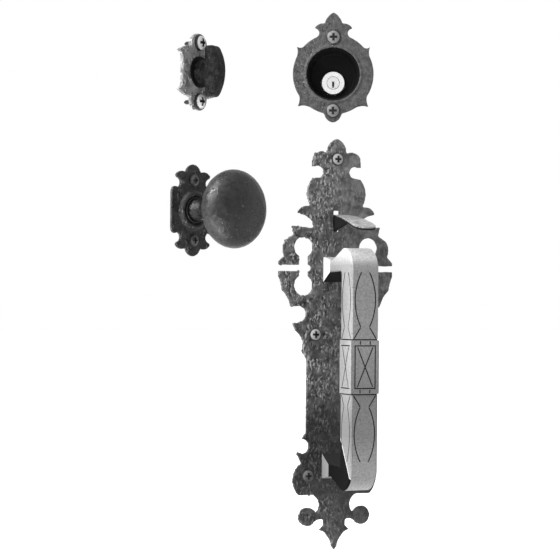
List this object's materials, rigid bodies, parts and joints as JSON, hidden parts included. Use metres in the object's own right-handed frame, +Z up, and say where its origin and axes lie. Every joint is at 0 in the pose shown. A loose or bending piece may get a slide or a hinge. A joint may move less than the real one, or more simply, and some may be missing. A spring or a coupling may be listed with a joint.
{
  "type": "entry door handleset",
  "caption": "Entry door set in hammered black iron: scrolled handle plate with grip and thumb lever, deadbolt cylinder rose, interior knob and interior thumb turn on plates.",
  "frame": {"origin": "on the back of the handle plate, on its centre line, at the height of the thumb latch", "axes": "+Z up, +Y from the plate's back into the door, +X to the right seen from outside"},
  "size_m": [0.2322, 0.1521, 0.5172],
  "materials": {
    "black_iron_plate": "satin black over pitted iron",
    "black_iron_grip": "satin black over hammered iron, rubbed brighter on the engraved faces",
    "black_iron_knob": "satin black over a leathery hammered casting",
    "black_screws": "glossy dark steel",
    "black_cup": "glossy black",
    "polished_face": "bright satin",
    "dark_steel": "dull blackened",
    "spring_steel": "plain",
    "pin_brass": "plain turned"
  },
  "bodies": {
    "set": {"handle_plate": "black_iron_plate", "grip": "black_iron_grip", "grip_screws": "dark_steel", "lever_pin": "dark_steel", "lever_bracket": "dark_steel", "bracket_rivets": "dark_steel", "lever_spring": "spring_steel", "plate_screws": "black_screws", "cylinder_rose": "black_iron_plate", "cylinder_cup": "black_cup", "cylinder_body": "polished_face", "driver_pins": "pin_brass", "pin_springs": "spring_steel", "pin_cover": "pin_brass", "lock_screws": "dark_steel", "rose_screws": "black_screws", "knob_plate": "black_iron_plate", "knob_collar": "black_cup", "knob_screws": "black_screws", "turn_plate": "black_iron_plate", "turn_collar": "black_cup", "turn_screws": "black_screws"},
    "thumb": {"thumb_lever": "black_iron_plate"},
    "plug": {"cylinder_plug": "polished_face", "bottom_pins": "pin_brass", "tail_cap": "pin_brass", "tailpiece": "spring_steel"},
    "knob_turning": {"knob": "black_iron_knob", "knob_spindle": "spring_steel", "knob_set_screw": "dark_steel", "knob_ring": "dark_steel"},
    "turn_turning": {"turn_grip": "black_iron_knob", "turn_spindle": "spring_steel", "turn_ring": "dark_steel"}
  },
  "joints": [
    {"name": "thumb_press", "type": "hinge", "parent": "set", "child": "thumb", "pos_m": [0, 0.008, -0.003], "axis": [1, 0, 0], "range_deg": [0, 10], "stiffness_Nm_per_rad": 0.3, "springref_deg": -17.19},
    {"name": "plug_turn", "type": "hinge", "parent": "set", "child": "plug", "pos_m": [-0.0036, 0, 0.1327], "axis": [0.4067, 0.9135, 0], "range_deg": [-90, 90]},
    {"name": "knob_turn", "type": "hinge", "parent": "set", "child": "knob_turning", "pos_m": [-0.1474, 0, 0.0049], "axis": [-0.3987, 0.9171, 0], "range_deg": [-60, 60], "stiffness_Nm_per_rad": 0.15},
    {"name": "turn_turn", "type": "hinge", "parent": "set", "child": "turn_turning", "pos_m": [-0.1438, 0, 0.134], "axis": [-0.5592, 0.829, 0], "range_deg": [-90, 90]}
  ]
}
